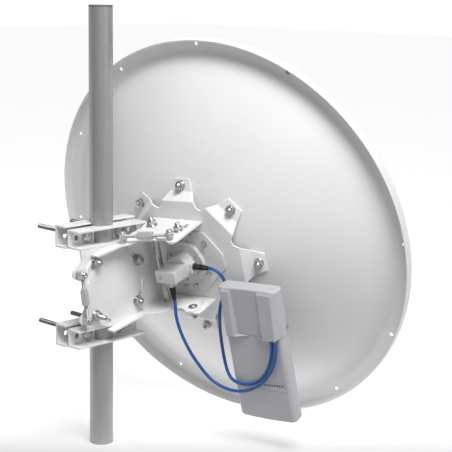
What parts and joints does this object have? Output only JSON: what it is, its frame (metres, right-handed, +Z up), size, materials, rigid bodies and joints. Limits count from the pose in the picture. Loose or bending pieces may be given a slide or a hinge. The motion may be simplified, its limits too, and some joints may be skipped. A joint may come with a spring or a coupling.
{
  "type": "microwave dish antenna",
  "caption": "Round parabolic dish on a pole mount with slotted brackets and turnbuckles for elevation and azimuth, a rear feed and a cabled radio unit.",
  "frame": {"origin": "centre of the pole's flat foot", "axes": "+Z up along the pole, +X the way the mount faces, +Y to the left of the mount"},
  "size_m": [0.432, 0.673, 0.711],
  "materials": {
    "white_paint": "satin",
    "pole_steel": "satin",
    "zinc_plate": "satin",
    "feed_casting": "matte",
    "radio_plastic": "matte",
    "black_rubber": "matte",
    "blue_jacket": "satin"
  },
  "bodies": {
    "mount": {"mast_pole": "pole_steel", "pole_plug": "pole_steel", "front_channel_upper": "white_paint", "front_channel_lower": "white_paint", "rear_channel_upper": "white_paint", "rear_channel_lower": "white_paint", "clamp_bolt_upper_left": "zinc_plate", "clamp_bolt_upper_right": "zinc_plate", "clamp_bolt_lower_left": "zinc_plate", "clamp_bolt_lower_right": "zinc_plate", "bracket_plate": "white_paint", "elevation_lock_bolt_1": "zinc_plate", "elevation_lock_bolt_2": "zinc_plate", "elevation_lock_bolt_3": "zinc_plate", "elevation_lock_bolt_4": "zinc_plate", "elevation_link_pin_upper": "zinc_plate"},
    "elevation_head": {"elevation_bracket": "white_paint", "azimuth_pivot": "zinc_plate", "azimuth_lock_bolt_top": "zinc_plate", "azimuth_lock_bolt_bottom": "zinc_plate", "elevation_link_pin_lower": "zinc_plate", "azimuth_link_pin_fixed": "zinc_plate"},
    "antenna": {"azimuth_plate_top": "white_paint", "azimuth_plate_bottom": "white_paint", "hub_ring": "white_paint", "reflector": "white_paint", "feed_plate": "feed_casting", "feed_collar": "feed_casting", "feed_housing": "feed_casting", "side_port": "zinc_plate", "down_port": "zinc_plate", "side_boot": "black_rubber", "down_boot": "black_rubber", "side_cable": "blue_jacket", "down_cable": "blue_jacket", "feed_tube": "feed_casting", "splash_plate": "radio_plastic", "radio_case": "radio_plastic", "radio_hood": "radio_plastic", "radio_strap": "white_paint", "azimuth_link_pin_moving": "zinc_plate"},
    "elevation_sleeve": {"elevation_link_sleeve": "zinc_plate"},
    "elevation_rod": {"elevation_link_rod": "zinc_plate"},
    "azimuth_sleeve": {"azimuth_link_sleeve": "zinc_plate"},
    "azimuth_rod": {"azimuth_link_rod": "zinc_plate"}
  },
  "joints": [
    {"name": "elevation_tilt", "type": "hinge", "parent": "mount", "child": "elevation_head", "pos_m": [0, -0.032, 0.2695], "axis": [0, -1, 0], "range_deg": [-12, 0]},
    {"name": "azimuth_swing", "type": "hinge", "parent": "elevation_head", "child": "antenna", "pos_m": [0.08347, -0.0495, 0.29218], "axis": [-0.2622, 0, 0.965], "range_deg": [-12, 0]},
    {"name": "elevation_sleeve_pivot", "type": "hinge", "parent": "mount", "child": "elevation_sleeve", "pos_m": [-0.075, -0.041, 0.298], "axis": [0, -1, 0], "range_deg": [-5.8, 0]},
    {"name": "elevation_rod_pivot", "type": "hinge", "parent": "elevation_head", "child": "elevation_rod", "pos_m": [-0.06359, -0.041, 0.22321], "axis": [0, -1, 0], "range_deg": [0, 6.5]},
    {"name": "azimuth_sleeve_pivot", "type": "hinge", "parent": "elevation_head", "child": "azimuth_sleeve", "pos_m": [0.00104, -0.051, 0.34957], "axis": [-0.2622, 0, 0.965], "range_deg": [-8.7, 0]},
    {"name": "azimuth_rod_pivot", "type": "hinge", "parent": "antenna", "child": "azimuth_rod", "pos_m": [0.03333, -0.12329, 0.35835], "axis": [-0.2622, 0, 0.965], "range_deg": [0, 3.7]}
  ],
  "couplings": [
    {"joint": "elevation_sleeve_pivot", "follows": "elevation_tilt", "ratio": 0.474},
    {"joint": "elevation_rod_pivot", "follows": "elevation_tilt", "ratio": -0.526},
    {"joint": "azimuth_sleeve_pivot", "follows": "azimuth_swing", "ratio": 0.702},
    {"joint": "azimuth_rod_pivot", "follows": "azimuth_swing", "ratio": -0.298}
  ]
}
